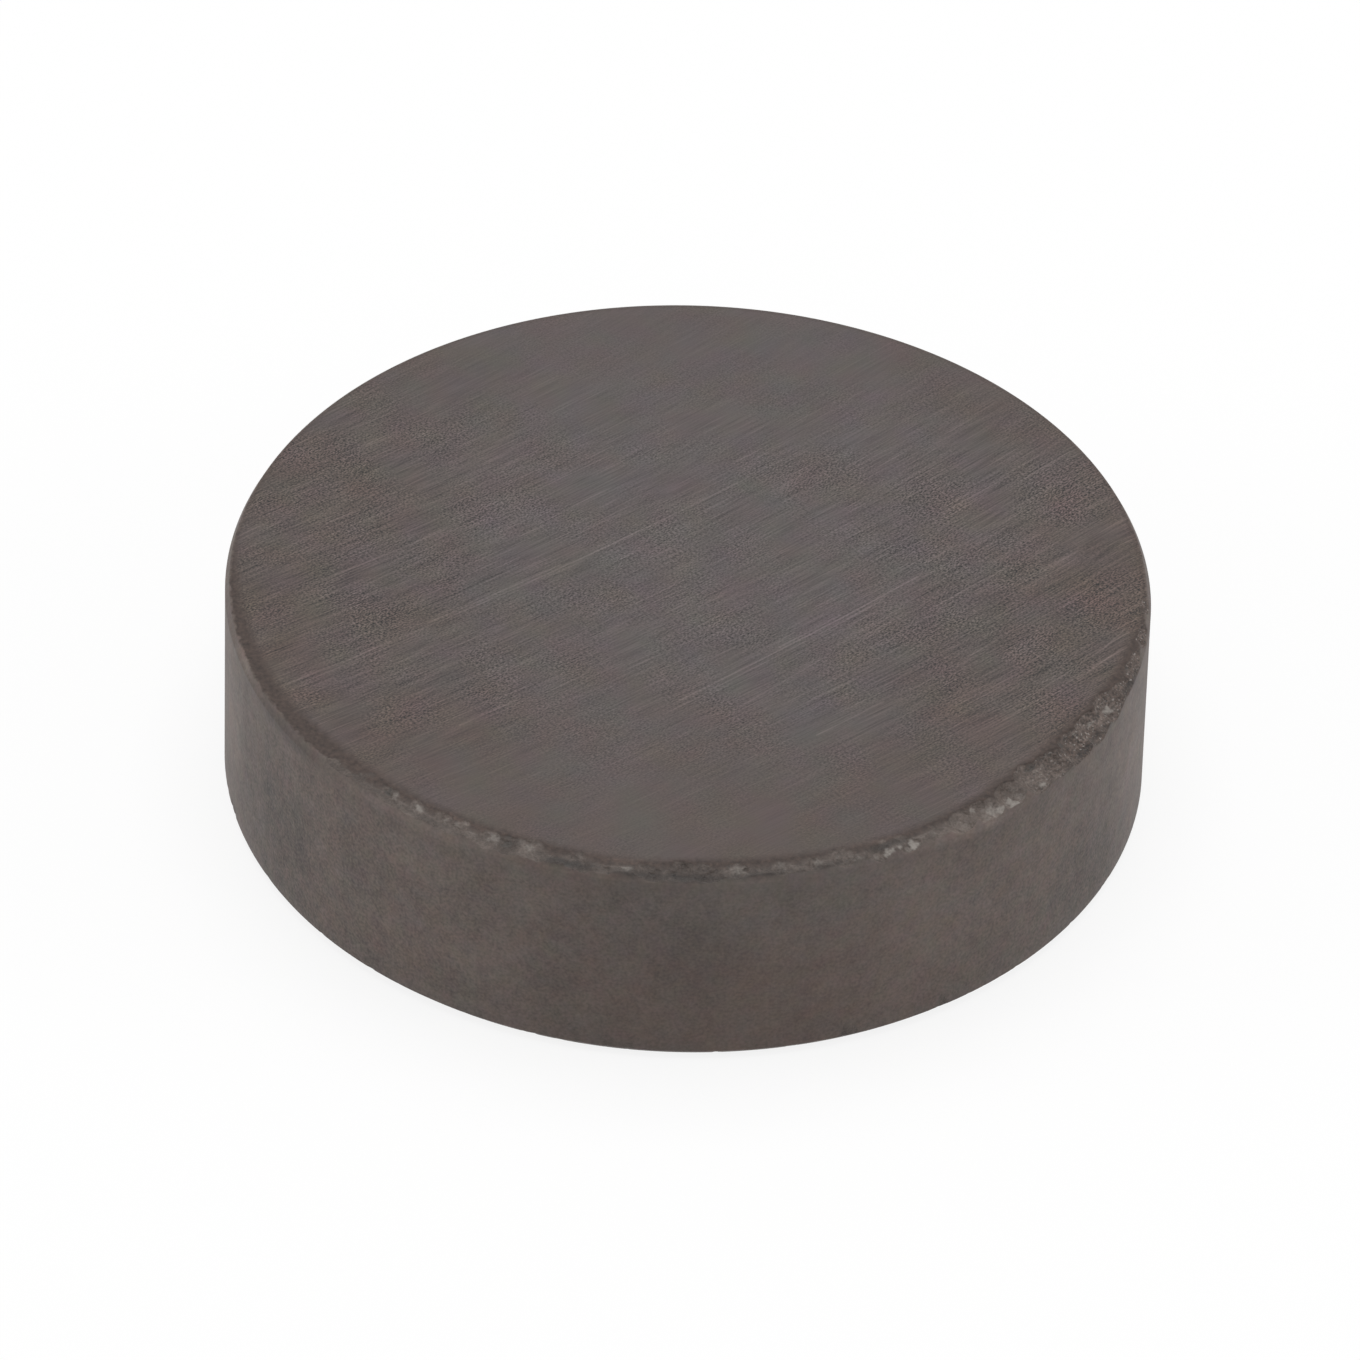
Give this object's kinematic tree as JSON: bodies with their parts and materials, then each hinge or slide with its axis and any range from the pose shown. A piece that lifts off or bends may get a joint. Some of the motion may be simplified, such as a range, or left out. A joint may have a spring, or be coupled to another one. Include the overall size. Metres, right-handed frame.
{
  "type": "disc magnet",
  "caption": "Flat round disc magnet of sintered ferrite with two ground pole faces, a fired wall and a chipped upper edge.",
  "frame": {"origin": "centre of the bottom pole face, on the disc's axis", "axes": "+Z along the disc's axis to the top pole face, whose edge is chipped from -Y round to +X"},
  "size_m": [0.02, 0.02, 0.005],
  "materials": {
    "ferrite": "matte"
  },
  "bodies": {
    "root": {"magnet": "ferrite"}
  },
  "joints": []
}
